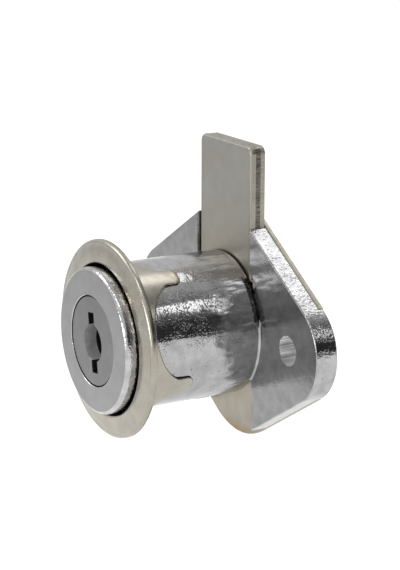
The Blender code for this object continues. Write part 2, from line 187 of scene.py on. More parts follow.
FRONT_BEND = 0.4 * MM
RIM_BEND = 0.5 * MM
RIM_SETBACK = 0.36 * MM
RIM_START_ANGLE = -math.pi / 2 - 0.35
DOME = ((1.2 * MM, 0.04 * MM), (1.9 * MM, 0.14 * MM))

FAR = 30 * MM
OVERRUN = 1 * MM
ROUNDING_STEPS = 4
SAME_PLANE = 0.02 * MM
FACES_FRONT = -0.9  # the normal's y must be below this
QUARTER = math.pi / 2

# Lights, walls, floor and camera
SOFTBOX_DISTANCE = 0.6
SOFTBOXES = (
    # name, direction, size, power
    ("overhead", (-0.17, 0.48, 0.86), (0.15, 0.24), 0.2),
    ("back_right", (0.62, 0.48, 0.62), (0.06, 0.2), 0.085),
    ("front", (0.05, -1, 0.1), (0.3, 0.14), 0.7),
    ("front_top", (0.23, -0.48, 0.84), (0.14, 0.12), 0.3),
    ("front_left", (-0.54, -0.48, 0.69), (0.3, 0.3), 0.7),
    ("camera_side", (0.6, -0.75, 0.3), (0.25, 0.25), 0.05),
)
# (height, brightness) up the walls, with height from 0 straight down to 1 straight up
DARK_WALL = ((0.0, 0.05), (0.36, 0.05), (0.5, 0.16), (0.75, 0.25), (1.0, 0.5))
BRIGHT_WALL = ((0.0, 0.75), (0.3, 0.8), (0.7, 0.95), (1.0, 0.6))
AWAY_FROM_DARK_WALL = (-1, -0.8, 0)
DARK_UNTIL, BRIGHT_FROM = -0.8, -0.3
FLOOR_RADIUS = 4.0
FLOOR_GAP = 0.2 * MM
FLOOR_DIRECTION = (0.39, 0.92, 0)
FLOOR_NEAR, FLOOR_NEAR_GLOW = -30 * MM, 0.95
FLOOR_FAR, FLOOR_FAR_GLOW = -130 * MM, 0.58
CAMERA_AZIMUTH = math.radians(59.9575)
CAMERA_ELEVATION = math.radians(14.8533)
CAMERA_ROLL = math.radians(0.1685)
CAMERA_PLACE = (192.564 * MM, -114.784 * MM, 64.323 * MM)
CAMERA_LENS, CAMERA_SENSOR, CAMERA_CLIP = 111.406, 36, 0.01


# Mesh tools


def make_object(name, bm):
    bmesh.ops.recalc_face_normals(bm, faces=bm.faces)
    mesh = bpy.data.meshes.new(name)
    bm.to_mesh(mesh)
    bm.free()
    obj = bpy.data.objects.new(name, mesh)
    bpy.context.scene.collection.objects.link(obj)
    return obj


def arc(centre, radius, start, end, steps):
    angles = [start + (end - start) * i / steps for i in range(steps + 1)]
    return [(centre[0] + radius * math.cos(a), centre[1] + radius * math.sin(a)) for a in angles]


def circle(radius, steps, centre=(0, 0)):
    return arc(centre, radius, 0, 2 * math.pi, steps)[:-1]


def rectangle(left, right, bottom, top):
    return [(left, bottom), (right, bottom), (right, top), (left, top)]


def resample(outline, spacing):
    """The same outline with no side longer than spacing."""
    points = []
    for (x0, z0), (x1, z1) in zip(outline, outline[1:] + outline[:1]):
        count = max(1, math.ceil(math.hypot(x1 - x0, z1 - z0) / spacing))
        points += [(x0 + (x1 - x0) * i / count, z0 + (z1 - z0) * i / count) for i in range(count)]
    return points


def outward(outline):
    """For each corner of an anticlockwise outline, the step that moves its two sides out by one."""
    steps = []
    for i, (x, z) in enumerate(outline):
        before = Vector((x, z)) - Vector(outline[i - 1])
        after = Vector(outline[(i + 1) % len(outline)]) - Vector((x, z))
        before.normalize()
        after.normalize()
        normals = Vector((before.y, -before.x)), Vector((after.y, -after.x))
        middle = (normals[0] + normals[1]).normalized()
        steps.append(middle / max(0.5, middle.dot(normals[0])))
    return steps


def rounded_sides(front, back, front_round, back_round, steps=ROUNDING_STEPS):
    """Side profile of a prism as (growth, y), with its front and back edges rounded."""
    profile = []
    for i in range(steps + 1):
        a = QUARTER * i / steps
        profile.append((-front_round * (1 - math.sin(a)), front + front_round * (1 - math.cos(a))))
    for i in range(steps + 1):
        a = QUARTER * (1 - i / steps)
        profile.append((-back_round * (1 - math.sin(a)), back - back_round * (1 - math.cos(a))))
    return profile


def prism(name, outline, sides, roughen=None):
    """A prism along Y with a side profile of (growth, y); roughen(x, y, z, row) adds to the growth."""
    moves = outward(outline)
    bm = bmesh.new()
    rings = []
    for row, (growth, y) in enumerate(sides):
        ring = []
        for (x, z), move in zip(outline, moves):
            more = growth + (roughen(x, y, z, row) if roughen else 0)
            ring.append(bm.verts.new((x + move.x * more, y, z + move.y * more)))
        rings.append(ring)
    bm.faces.new(rings[0])
    bm.faces.new(rings[-1])
    count = len(outline)
    for ring, after in zip(rings, rings[1:]):
        for i in range(count):
            j = (i + 1) % count
            bm.faces.new((ring[i], ring[j], after[j], after[i]))
    return make_object(name, bm)


def straight(front, back):
    """Side profile of a plain cutter."""
    return [(0, front), (0, back)]


def opening(face, end, edge):
    """Side profile of a cutter that starts ahead of a face and eases its edge in steps of (growth, depth)."""
    return [(edge[0][0], face - OVERRUN)] + [(growth, face + depth) for growth, depth in edge] + [(0, end)]


def lathe(name, profile, sides, centre=(0, 0), roughen=None):
    """Turns a profile of (radius, y) points, which starts and ends on the axis."""
    bm = bmesh.new()
    ends = [bm.verts.new((centre[0], profile[i][1], centre[1])) for i in (0, -1)]
    columns = []
    for i in range(sides):
        angle = 2 * math.pi * i / sides
        column = []
        for radius, y in profile[1:-1]:
            r = radius + (roughen(radius, angle, y) if roughen else 0)
            x, z = centre[0] + r * math.cos(angle), centre[1] + r * math.sin(angle)
            column.append(bm.verts.new((x, y, z)))
        columns.append(column)
    for i, column in enumerate(columns):
        after = columns[(i + 1) % sides]
        bm.faces.new((ends[0], column[0], after[0]))
        bm.faces.new((ends[1], after[-1], column[-1]))
        for j in range(len(column) - 1):
            bm.faces.new((column[j], column[j + 1], after[j + 1], after[j]))
    return make_object(name, bm)


def combine(target, tool, operation):
    """Applies a Boolean of target and tool to target, and removes the tool."""
    modifier = target.modifiers.new(operation, "BOOLEAN")
    modifier.operation = operation
    modifier.solver = "EXACT"
    modifier.object = tool
    bpy.context.view_layer.update()
    evaluated = target.evaluated_get(bpy.context.evaluated_depsgraph_get())
    result = bpy.data.meshes.new_from_object(evaluated)
    target.modifiers.clear()
    before = target.data
    target.data = result
    bpy.data.meshes.remove(before)
    bpy.data.objects.remove(tool)


def cut(target, tool):
    combine(target, tool, "DIFFERENCE")


def fuse(target, tool):
    combine(target, tool, "UNION")


def smooth(obj, angle=32):
    """Smooth shading that stays sharp at real edges and flat on wide flat faces."""
    obj.data.shade_smooth()
    obj.data.set_sharp_from_angle(angle=math.radians(angle))
    weighted = obj.modifiers.new("weighted", "WEIGHTED_NORMAL")
    weighted.keep_sharp = True
    weighted.weight = 100


def paint(obj, first, *rules):
    """Gives every face the first material, or that of the last rule whose test its centre and normal pass."""
    obj.data.materials.clear()
    for material in (first, *(rule[0] for rule in rules)):
        obj.data.materials.append(material)
    for polygon in obj.data.polygons:
        polygon.material_index = 0
        for index, (_, test) in enumerate(rules):
            if test(polygon.center, polygon.normal):
                polygon.material_index = index + 1


def wave(x, y, z, size):
    """Smooth noise from -1 to 1, with features of the given size."""
    return noise.noise(Vector((x, y, z)) / size)


# Pieces


def edge_height(x):
    """Height of the flange's sloping edge above the point x."""
    apex = SCREW_HOLE_X * math.tan(EDGE_SLOPE) + TIP_RADIUS / math.cos(EDGE_SLOPE)
    return apex - abs(x) * math.tan(EDGE_SLOPE)


def diamond_apex(steps):
    """Rounded top corner of the flange and the back plate."""
    lean = QUARTER - EDGE_SLOPE
    centre = edge_height(0) - PLATE_APEX_RADIUS / math.cos(EDGE_SLOPE)
    return arc((0, centre), PLATE_APEX_RADIUS, lean, math.pi - lean, steps)


def flange_outline():
    """The flange's diamond with rounded ears."""
    lean = QUARTER - EDGE_SLOPE
    half = arc((SCREW_HOLE_X, 0), TIP_RADIUS, -lean, lean, 40) + diamond_apex(8)
    return half + [(-x, -z) for x, z in half]


def channel_outline(low, high):
    """The bolt's channel, wider round the bolt's base."""
    wide = BOLT_HIGH.x + CHANNEL_GAP
    narrow = BOLT_HALF_WIDTH + CHANNEL_GAP
    step = BOLT_SHOULDER + CHANNEL_GAP
    right = [(wide, low), (wide, step), (narrow, step), (narrow, high)]
    return right + [(-x, z) for x, z in reversed(right)]


def cast_skin(x, y, z, row=0):
    """Slight unevenness of a die casting under its plating: long waves along the barrel, and short ones."""
    waves = CAST_WAVE_HEIGHT * wave(x, y * 0.3, z, CAST_WAVE_SIZE)
    return waves + CAST_RIPPLE_HEIGHT * wave(x, y, z, CAST_RIPPLE_SIZE)


def barrel_profile(rear):
    """(radius, y) of the barrel, from its front edge to the fillet at its foot."""
    edge_centre = (BARREL_RADIUS - RING_EDGE_RADIUS, FRONT_Y + RING_EDGE_RADIUS)
    edge = arc(edge_centre, RING_EDGE_RADIUS, -QUARTER, 0, 10)
    start = edge[-1][1]
    foot = (BARREL_RADIUS + FOOT_FILLET, FOOT_SINK - FOOT_FILLET)
    side = [(BARREL_RADIUS, start + (foot[1] - start) * i / BARREL_ROWS) for i in range(1, BARREL_ROWS)]
    side += arc(foot, FOOT_FILLET, math.pi, QUARTER, 6) + [(foot[0], rear)]
    return [(0, FRONT_Y)] + edge + side + [(0, rear)]


def barrel_skin(radius, angle, y):
    """The casting's unevenness, and the foot's fillet taken away where the relief groove or the bolt is."""
    if radius < BARREL_RADIUS - RING_EDGE_RADIUS * 0.9:
        return 0
    below_relief = (math.sin(RELIEF_END_ANGLE) - math.sin(angle)) / FOOT_FADE_SINE + 0.5
    from_channel = abs(BARREL_RADIUS * math.cos(angle)) - BOLT_HIGH.x - CHANNEL_GAP
    beside_bolt = from_channel / FOOT_FADE_WIDTH + 1
    footed = min(1, max(0, min(below_relief, beside_bolt)))
    foot = max(0, radius - BARREL_RADIUS)
    return cast_skin(radius * math.cos(angle), y, radius * math.sin(angle)) - foot * (1 - footed)


def ridged_bore(x, y, z, row):
    """Draw marks that run along a cast hole."""
    return DRAW_MARK_HEIGHT * wave(x, 0, z, DRAW_MARK_SIZE)


def in_screw_hole(centre, normal, margin):
    """Whether a face belongs to the wall of a screw hole, give or take a margin."""
    from_middle = math.hypot(abs(centre.x) - SCREW_HOLE_X, centre.z)
    return abs(normal.y) < 0.5 and from_middle < SCREW_HOLE_RADIUS + margin


def make_peg(place):
    """Peg of the casting with the domed head that holds the back plate."""
    root = WING_THICKNESS - PEG_ROOT
    head = FLANGE_THICKNESS + PEG_NECK
    centre = (PEG_HEAD_RADIUS - PEG_HEAD_HEIGHT, head)
    dome = arc(centre, PEG_HEAD_HEIGHT, 0, QUARTER, 5)
    profile = [(0, root), (PEG_RADIUS, root), (PEG_RADIUS, head)] + dome + [(0, head + PEG_HEAD_HEIGHT)]
    return lathe("peg", profile, 32, place)


def make_retainer_groove():
    """Half-turn groove in the bore that the retainer's end runs in."""
    margin = math.asin((RETAINER_HALF_HEIGHT + CHANNEL_GAP) / PLUG_RADIUS)
    start = PLUG_TILT - margin
    end = PLUG_TILT + math.pi + margin
    inner = PLUG_RADIUS - RETAINER_GROOVE_OVERLAP
    outline = arc((0, 0), RETAINER_GROOVE_RADIUS, start, end, 48) + arc((0, 0), inner, end, start, 48)
    half = SLOT_WIDTH / 2 + RETAINER_GROOVE_GAP
    return prism("retainer_groove", outline, straight(RETAINER_Y - half, RETAINER_Y + half))


def make_housing(chrome, cast_face, cast_edge, polished, satin, hole_wall, inner):
    """The casting: flange, barrel and pegs, with the channel, the bore and its grooves cut in."""
    sides = rounded_sides(0, FLANGE_THICKNESS, CAST_ROUNDING, CAST_REAR_ROUNDING)
    housing = prism("housing_shell", resample(flange_outline(), 0.5 * MM), sides, cast_skin)
    seat = rectangle(-PLATE_HALF_WIDTH - SLOT_GAP, PLATE_HALF_WIDTH + SLOT_GAP, -FAR, FAR)
    cut(housing, prism("seat", seat, straight(WING_THICKNESS, FAR)))
    relief = opening(0, RELIEF_DEPTH, RELIEF_EDGE)
    arch = arc((0, 0), RELIEF_RADIUS, RELIEF_END_ANGLE, math.pi - RELIEF_END_ANGLE, 120)
    cut(housing, prism("relief", arch, relief))
    barrel = barrel_profile(WING_THICKNESS - BARREL_ROOT)
    fuse(housing, lathe("barrel", barrel, 240, roughen=barrel_skin))
    for place in PEG_PLACES:
        fuse(housing, make_peg(place))
    flare = [(0.15 * MM, CHANNEL_FRONT_Y), (0.05 * MM, 0.06 * MM), (0, 0.2 * MM), (0, FAR)]
    cut(housing, prism("channel", channel_outline(-FAR, FAR), flare))
    bore = opening(FRONT_Y, FAR, BORE_EDGE)
    cut(housing, prism("bore", circle(BORE_RADIUS, 160), bore))
    reach = BORE_RADIUS + LOCKING_GROOVE_DEPTH
    half = WAFER_HALF_WIDTH + 2 * SLOT_GAP
    grooves = rectangle(-half, half, -reach, reach)
    locking_grooves = prism("grooves", grooves, straight(FRONT_Y + LOCKING_GROOVE_FRONT, OVERRUN))
    locking_grooves.rotation_euler.y = -PLUG_TILT
    cut(housing, locking_grooves)
    cut(housing, make_retainer_groove())
    mouth = opening(0, FAR, SCREW_HOLE_EDGE)
    for side in (-1, 1):
        hole = circle(SCREW_HOLE_RADIUS, 96, (side * SCREW_HOLE_X, 0))
        cut(housing, prism("screw_hole", hole, mouth, ridged_bore))

    def on_flange(centre, normal):
        return normal.y < FACES_FRONT and abs(centre.y) < SAME_PLANE

    def on_edge(centre, normal):
        return centre.y > -SAME_PLANE and math.hypot(centre.x, centre.z) > RELIEF_RADIUS + 0.2 * MM

    def on_ring(centre, normal):
        return centre.y < ROSETTE_LIP_Y

    # The screw holes' walls get the banded white metal: painted reflections.
    def in_bored_hole(centre, normal):
        return in_screw_hole(centre, normal, 0.06 * MM) and centre.y > 0.1 * MM

    def on_face(centre, normal):
        return normal.y < FACES_FRONT and centre.y < FRONT_Y + SAME_PLANE

    # Faces inside the bore and its grooves get the near-black inner metal: painted shade.
    def inside(centre, normal):
        near_axis = math.hypot(centre.x, centre.z) < BORE_RADIUS + LOCKING_GROOVE_DEPTH * 2
        return near_axis and centre.y > FRONT_Y + 0.1 * MM

    paint(
        housing, chrome, (cast_edge, on_edge), (cast_face, on_flange), (polished, on_ring), (satin, on_face),
        (hole_wall, in_bored_hole), (inner, inside),
    )
    smooth(housing)
    return housing


def make_back_plate(nickel, hole_wall):
    """Flat stamping behind the bolt, cut straight at both ends."""
    end_z = edge_height(PLATE_HALF_WIDTH)
    half = [(PLATE_HALF_WIDTH, -end_z), (PLATE_HALF_WIDTH, end_z)] + diamond_apex(40)
    outline = resample(half + [(-x, -z) for x, z in half], 0.3 * MM)
    sides = rounded_sides(PLATE_FRONT_Y, FLANGE_THICKNESS, PLATE_FRONT_ROUNDING, PLATE_REAR_ROUNDING)
    plate = prism("back_plate_stamping", outline, sides, sheared_skin)
    holes = [(SCREW_HOLE_RADIUS, (side * SCREW_HOLE_X, 0)) for side in (-1, 1)]
    holes += [(PEG_RADIUS + SLOT_GAP, place) for place in PEG_PLACES]
    chamfer = PLATE_HOLE_CHAMFER
    mouth = [(0, 0), (0, FLANGE_THICKNESS - chamfer), (chamfer, FLANGE_THICKNESS), (chamfer, FAR)]
    for radius, centre in holes:
        cut(plate, prism("hole", circle(radius, 48, centre), mouth))

    # The screw holes' walls get the banded white metal: painted reflections.
    def in_hole(centre, normal):
        return in_screw_hole(centre, normal, SLOT_GAP)

    paint(plate, nickel, (hole_wall, in_hole))
    smooth(plate)
    return plate


def sheared_skin(x, y, z, row):
    """Sides left by a stamping tool: smooth round the front edge, uneven behind it."""
    return SHEARED_HEIGHT * wave(x, y, z, SHEARED_SIZE) if row > ROUNDING_STEPS else 0


def make_bolt(face_nickel, sheared_nickel, torn_nickel):
    """Stamped bar: rolled over at the front edge, then a smooth sheared band, then a torn one."""
    half_width = BOLT_HIGH.x
    foot_rise = (half_width - BOLT_FOOT_HALF_WIDTH) * math.tan(EDGE_SLOPE)
    corner = (BOLT_HALF_WIDTH - BOLT_CORNER_RADIUS, BOLT_HIGH.z - BOLT_CORNER_RADIUS)
    right = [
        (BOLT_FOOT_HALF_WIDTH, BOLT_LOW.z),
        (half_width, BOLT_LOW.z + foot_rise),
        (half_width, BOLT_SHOULDER),
        (BOLT_HALF_WIDTH, BOLT_SHOULDER),
    ]
    right += arc(corner, BOLT_CORNER_RADIUS, 0, QUARTER, 12)
    outline = resample(right + [(-x, z) for x, z in reversed(right)], 0.1 * MM)
    front, back = BOLT_LOW.y, BOLT_HIGH.y
    thickness = back - front
    bend_steps = 7
    sides = rounded_sides(front, back, BOLT_FRONT_ROUNDING, BOLT_REAR_ROUNDING, bend_steps)
    bands = (0.34, 0.38, 0.68, 0.84)
    smooth_end, torn_start, torn_middle, torn_end = (front + thickness * share for share in bands)
    tear = [(0, smooth_end), (-TEAR_START_DEPTH, torn_start)]
    tear += [
        (-TEAR_DEPTH, torn_start + (torn_end - torn_start) * i / TEAR_ROWS) for i in range(1, TEAR_ROWS + 1)
    ]
    sides = sides[: bend_steps + 1] + tear + sides[bend_steps + 1 :]

    def roughen(x, y, z, row):
        if not torn_start <= y <= torn_end + 0.01 * MM:
            return 0
        share = 1 if y < torn_middle else 0.35
        return share * TEAR_ROUGHNESS * wave(x, y * 0.35, z, TEAR_SIZE)

    bolt = prism("bolt_bar", outline, sides, roughen)
    slot_right = (CRANK_RADIUS + PIN_RADIUS + SLOT_GAP - CAM_SLOT_RADIUS, CRANK_RADIUS)
    slot_left = (CAM_SLOT_RADIUS - PIN_RADIUS - 2 * SLOT_GAP, CRANK_RADIUS)
    slot = arc(slot_right, CAM_SLOT_RADIUS, -QUARTER, QUARTER, 24)
    slot += arc(slot_left, CAM_SLOT_RADIUS, QUARTER, 3 * QUARTER, 24)
    cut(bolt, prism("cam_slot", slot, straight(front - OVERRUN, back + OVERRUN)))

    def on_side(centre, normal):
        return abs(normal.y) < 0.5

    def on_tear(centre, normal):
        return smooth_end < centre.y < torn_middle and abs(normal.x) > 0.6

    paint(bolt, face_nickel, (sheared_nickel, on_side), (torn_nickel, on_tear))
    smooth(bolt, 40)
    return bolt


def wafer_y(index):
    """Middle of a wafer's slot along the plug."""
    return FRONT_Y + NOSE_LENGTH + SLOT_WIDTH / 2 + index * WAFER_PITCH


def make_plug(satin, keyhole_wall, inner):
    """The plug with its eccentric pin and keyhole, and the slots of the wafers and of the retainer."""
    face = FRONT_Y + PLUG_RECESS
    rounding = PLUG_EDGE_ROUNDING
    edge = arc((PLUG_RADIUS - rounding, face + rounding), rounding, -QUARTER, 0, 4)
    profile = [(0, face)] + edge + [(PLUG_RADIUS, PLUG_REAR_Y), (0, PLUG_REAR_Y)]
    plug = lathe("plug_body", profile, 160)
    pin_centre = (CRANK_RADIUS * math.sin(PLUG_TILT), CRANK_RADIUS * math.cos(PLUG_TILT))
    pin_sides = rounded_sides(PLUG_REAR_Y - OVERRUN, PIN_END_Y, 0, PIN_ROUNDING, 3)[3:]
    fuse(plug, prism("pin", circle(PIN_RADIUS, 48, pin_centre), pin_sides))
    ahead = FRONT_Y - OVERRUN
    flare = [(KEYHOLE_CHAMFER, ahead), (KEYHOLE_CHAMFER, face), (0, face + KEYHOLE_CHAMFER)]
    keyhole = circle(KEYHOLE_RADIUS, 96, (0, -KEYHOLE_DROP))
    lit_end = face + KEYHOLE_LIT_DEPTH
    keyhole_end = FRONT_Y + NOSE_LENGTH + 0.3 * MM
    undercut = [(0, lit_end), (KEYHOLE_UNDERCUT, lit_end + 0.05 * MM), (KEYHOLE_UNDERCUT, keyhole_end)]
    cut(plug, prism("keyhole", keyhole, flare + undercut))
    bottom, top = -KEYWAY_HALF_HEIGHT - KEYHOLE_DROP, KEYWAY_HALF_HEIGHT - KEYHOLE_DROP
    keyway = rectangle(-KEYWAY_HALF_WIDTH, KEYWAY_HALF_WIDTH, bottom, top)
    cut(plug, prism("keyway", keyway, flare + [(0, KEYWAY_END_Y)]))
    half = WAFER_HALF_WIDTH + SLOT_GAP
    reach = PLUG_RADIUS + OVERRUN
    slot = [
        (half, -reach),
        (half, reach),
        (-half, reach),
        (-half, SPRING_POCKET_TOP),
        (-SPRING_POCKET_END, SPRING_POCKET_TOP),
        (-SPRING_POCKET_END, SPRING_POCKET_BOTTOM),
        (-half, SPRING_POCKET_BOTTOM),
        (-half, -reach),
    ]
    for index in range(WAFER_COUNT):
        middle = wafer_y(index)
        cut(plug, prism("slot", slot, straight(middle - SLOT_WIDTH / 2, middle + SLOT_WIDTH / 2)))
    half_height = RETAINER_HALF_HEIGHT + SLOT_GAP
    retainer_slot = rectangle(-reach, RETAINER_SLOT_END, -half_height, half_height)
    ends = straight(RETAINER_Y - SLOT_WIDTH / 2, RETAINER_Y + SLOT_WIDTH / 2)
    cut(plug, prism("retainer_slot", retainer_slot, ends))
    plug.data.transform(Matrix.Rotation(-PLUG_TILT, 4, "Y"))

    hole_x, hole_z = KEYHOLE_DROP * math.sin(PLUG_TILT), -KEYHOLE_DROP * math.cos(PLUG_TILT)

    # Faces deeper in the keyhole and behind the nose get the near-black inner metal: painted shade.
    def deeper(centre, normal):
        past_chamfer = centre.y > face + KEYHOLE_CHAMFER + 0.01 * MM
        return past_chamfer and math.hypot(centre.x, centre.z) < PLUG_RADIUS * 0.9

    # The round keyhole's wall gets the lighter keyhole metal: painted light.
    def round_hole(centre, normal):
        from_middle = math.hypot(centre.x - hole_x, centre.z - hole_z)
        return deeper(centre, normal) and abs(from_middle - KEYHOLE_RADIUS) < 0.03 * KEYHOLE_RADIUS

    def behind(centre, normal):
        return centre.y > FRONT_Y + NOSE_LENGTH - 0.05 * MM

    paint(plug, satin, (inner, deeper), (keyhole_wall, round_hole), (inner, behind))
    smooth(plug)
    return plug


def hollow_outline():
    """Edge of the sheet as (distance round the collar, y), from the middle of one tab to that of the next."""
    middle = math.pi * ROSETTE_INNER_RADIUS / TAB_COUNT
    scallop_centre = (middle, SCALLOP_Y + SCALLOP_RADIUS)
    fillet_across = TAB_HALF_WIDTH + TAB_DRAFT + TAB_FILLET
    reach = SCALLOP_RADIUS - TAB_FILLET
    rise = math.sqrt(reach**2 - (middle - fillet_across) ** 2)
    fillet_centre = (fillet_across, scallop_centre[1] - rise)
    meet = math.atan2(-rise, fillet_across - middle)
    half = [(0, TAB_TIP_Y)]
    half += arc((TAB_HALF_WIDTH - TAB_CORNER, TAB_TIP_Y - TAB_CORNER), TAB_CORNER, QUARTER, 0, 12)
    half += arc(fillet_centre, TAB_FILLET, -math.pi, meet, 10)
    half += arc(scallop_centre, SCALLOP_RADIUS, meet, -QUARTER, 24)[1:]
    return half + [(2 * middle - s, y) for s, y in reversed(half[:-1])]


def sheet_edge(count):
    """The outline between two tabs in count equal steps, each as its point and its inward normal."""
    outline = [Vector(point) for point in hollow_outline()]
    lengths = [(after - before).length for before, after in zip(outline, outline[1:])]
    step = sum(lengths) / count
    points, done, k = [], 0, 0
    for i in range(count):
        while k < len(lengths) - 1 and done + lengths[k] < i * step:
            done += lengths[k]
            k += 1
        points.append(outline[k].lerp(outline[k + 1], (i * step - done) / lengths[k]))
    edges = [(points[0], Vector((0, -1)))]
    for before, point, after in zip(points, points[1:], points[2:] + outline[-1:]):
        along = (after - before).normalized()
        edges.append((point, Vector((along.y, -along.x))))
    return edges


def flange_section(tooth):
    """(radius, y) from the collar's inside round the bend, dome and rolled rim to the collar's outside."""
    sheet, rim = ROSETTE_SHEET, RIM_RADIUS
    inner = ROSETTE_INNER_RADIUS + COLLAR_FLARE
    outer = inner + sheet
    lip, back = ROSETTE_LIP_Y, ROSETTE_RIM_BACK_Y
    bend = FRONT_BEND
    rim_centre = (rim - RIM_BEND, lip + RIM_SETBACK + RIM_BEND)
    points = arc((inner + bend, lip + bend), bend, math.pi, 1.5 * math.pi, 6)
    points += [(inner + across, lip + depth) for across, depth in DOME]
    points += arc(rim_centre, RIM_BEND, RIM_START_ANGLE, 0, 7)
    points += [(rim - tooth, rim_centre[1] + 0.08 * MM), (rim - tooth, back - 0.06 * MM)]
    points += [(rim - 0.06 * MM, back), (rim - sheet, back), (rim - sheet, rim_centre[1])]
    points += arc(rim_centre, RIM_BEND - sheet, 0, RIM_START_ANGLE, 2)
    points += [(inner + across, lip + depth + sheet) for across, depth in reversed(DOME)]
    return points + arc((outer + bend, lip + sheet + bend), bend, -QUARTER, -math.pi, 5)


def make_rosette(nickel, shaded):
    """Sheet ring in columns: the collar's inside, round the flange, the collar's outside, round the edge."""
    bm = bmesh.new()
    columns = []
    count = SERRATIONS * 2
    edges = sheet_edge(count // TAB_COUNT)
    collar_y = COLLAR_START_Y
    rows = COLLAR_ROWS

    def wall_point(i, depth, share, back):
        """(angle, radius, y), by depth from 0 inside to 1 outside, share of the way to the edge, setback."""
        tab, step = divmod(i, len(edges))
        point, inwards = edges[step]
        point = point + inwards * back
        distance, y = point.x, collar_y + (point.y - collar_y) * share
        base = 2 * math.pi * ROSETTE_INNER_RADIUS / count * step
        blend = share * share * (3 - 2 * share)
        distance = base + (distance - base) * blend
        angle = TAB_FIRST_ANGLE + 2 * math.pi * tab / TAB_COUNT + distance / ROSETTE_INNER_RADIUS
        closing = min(1, max(0, (y - collar_y) / (TAB_TIP_Y - TAB_HALF_WIDTH - collar_y)))
        inside = ROSETTE_INNER_RADIUS + COLLAR_FLARE * (1 - closing) - TAB_PINCH * closing
        radius = inside + depth * (ROSETTE_SHEET - TAB_THINNING * closing)
        return angle, radius, y

    edge_turns = [math.pi * k / EDGE_STEPS for k in range(1, EDGE_STEPS)]
    edge = [(1 - (0.5 - 0.5 * math.cos(a)), 1, EDGE_ROUNDING * (1 - math.sin(a))) for a in edge_turns]
    wall_in = [(0, 1 - k / rows, EDGE_ROUNDING * (1 - k / rows)) for k in range(rows)]
    wall_out = [(1, k / rows, EDGE_ROUNDING * k / rows) for k in range(1, rows + 1)]
    for i in range(count):
        even = TAB_FIRST_ANGLE + 2 * math.pi * i / count
        tooth = (i % 2) * (SERRATION_DEPTH + SERRATION_VARIATION * wave(i, 0, 0, 9)) * MM
        places = [wall_point(i, *p) for p in wall_in]
        places += [(even, radius, y) for radius, y in flange_section(tooth)]
        places += [wall_point(i, *p) for p in wall_out + edge]
        column = []
        for angle, radius, y in places:
            x, z = radius * math.cos(angle), radius * math.sin(angle)
            lift = ROSETTE_WAVE_HEIGHT * wave(x, y, z, ROSETTE_WAVE_SIZE)
            column.append(bm.verts.new((x, y + lift, z)))
        columns.append(column)
    height = len(columns[0])
    for i, column in enumerate(columns):
        after = columns[(i + 1) % count]
        for j in range(height):
            k = (j + 1) % height
            bm.faces.new((column[j], column[k], after[k], after[j]))
    rosette = make_object("rosette_sheet", bm)

    # Faces towards the barrel get the near-black shaded metal: painted shade in the gap.
    def faces_barrel(centre, normal):
        outwards = Vector((centre.x, 0, centre.z)).normalized()
        return normal.dot(outwards) < -0.55 and centre.y > ROSETTE_LIP_Y + 0.1 * MM

    paint(rosette, nickel, (shaded, faces_barrel))
    rosette.data.shade_smooth()
    rosette.data.set_sharp_from_angle(angle=math.radians(50))
    return rosette


# Materials

# Sizes of the noise in the plated metals
SHADE_SIZE = 1.8 * MM
STAIN_SIZE = 4.5 * MM
FOOT_PATCH_SIZE = 1.5 * MM
POLISH_SIZE = 0.9 * MM
PIT_PATCH_SIZE = 2.6 * MM
SPECK_SIZE = 0.28 * MM
SPECK_COLOUR = (0.03, 0.025, 0.02)
RIPPLE_SIZE = 0.85 * MM
RIPPLE_STRETCH = (1, 3.5, 1)
RIPPLE_DEPTH = 0.13 * MM
REAR_ROUGHENING = 3.2
# Bumps of (size, depth)
FINE = (0.3 * MM, 0.003 * MM)
SATIN = (0.35 * MM, 0.008 * MM)


class Shader:
    """A material under construction: a Principled shader and the nodes that feed it."""

    def __init__(self, name):
        self.material = bpy.data.materials.new(name)
        self.material.use_nodes = True
        self.tree = self.material.node_tree
        self.shader = self.tree.nodes["Principled BSDF"]
        self.coordinates = self.tree.nodes.new("ShaderNodeTexCoord").outputs["Object"]

    def link(self, source, node, socket):
        self.tree.links.new(source, node.inputs[socket])

    def noise(self, size, detail=2.0, stretch=(1, 1, 1)):
        """Noise from 0 to 1 with features of the given size, longer along the axes with stretch above 1."""
        mapping = self.tree.nodes.new("ShaderNodeMapping")
        mapping.inputs["Scale"].default_value = [1 / s for s in stretch]
        texture = self.tree.nodes.new("ShaderNodeTexNoise")
        texture.inputs["Scale"].default_value = 1 / size
        texture.inputs["Detail"].default_value = detail
        self.link(self.coordinates, mapping, "Vector")
        self.link(mapping.outputs["Vector"], texture, "Vector")
        return texture.outputs["Fac"]

    def remap(self, value, low, high, to_low, to_high):
        """Takes the range low to high onto the other range, and stays inside it."""
        node = self.tree.nodes.new("ShaderNodeMapRange")
        for socket, number in zip(node.inputs[1:5], (low, high, to_low, to_high)):
            socket.default_value = number
        self.link(value, node, "Value")
        return node.outputs["Result"]

    def mix(self, amount, first, second):
        """Colour that goes from first to second; each is a colour or an output."""
        node = self.tree.nodes.new("ShaderNodeMix")
        node.data_type = "RGBA"
        self.tree.links.new(amount, node.inputs[0])
        for socket, colour in ((node.inputs[6], first), (node.inputs[7], second)):
            if isinstance(colour, tuple):
                socket.default_value = (*colour, 1)
            else:
                self.tree.links.new(colour, socket)
        return node.outputs[2]

    def times(self, first, second):
        node = self.tree.nodes.new("ShaderNodeMath")
        node.operation = "MULTIPLY"
        self.tree.links.new(first, node.inputs[0])
        self.tree.links.new(second, node.inputs[1])
        return node.outputs[0]

    def along(self, direction):
        """Distance along a direction in the object's own space."""
        node = self.tree.nodes.new("ShaderNodeVectorMath")
        node.operation = "DOT_PRODUCT"
        node.inputs[1].default_value = direction
        self.link(self.coordinates, node, 0)
        return node.outputs["Value"]

    def bump(self, height, distance, normal=None):
        node = self.tree.nodes.new("ShaderNodeBump")
        node.inputs["Distance"].default_value = distance
        self.link(height, node, "Height")
        if normal:
            self.link(normal, node, "Normal")
        return node.outputs["Normal"]


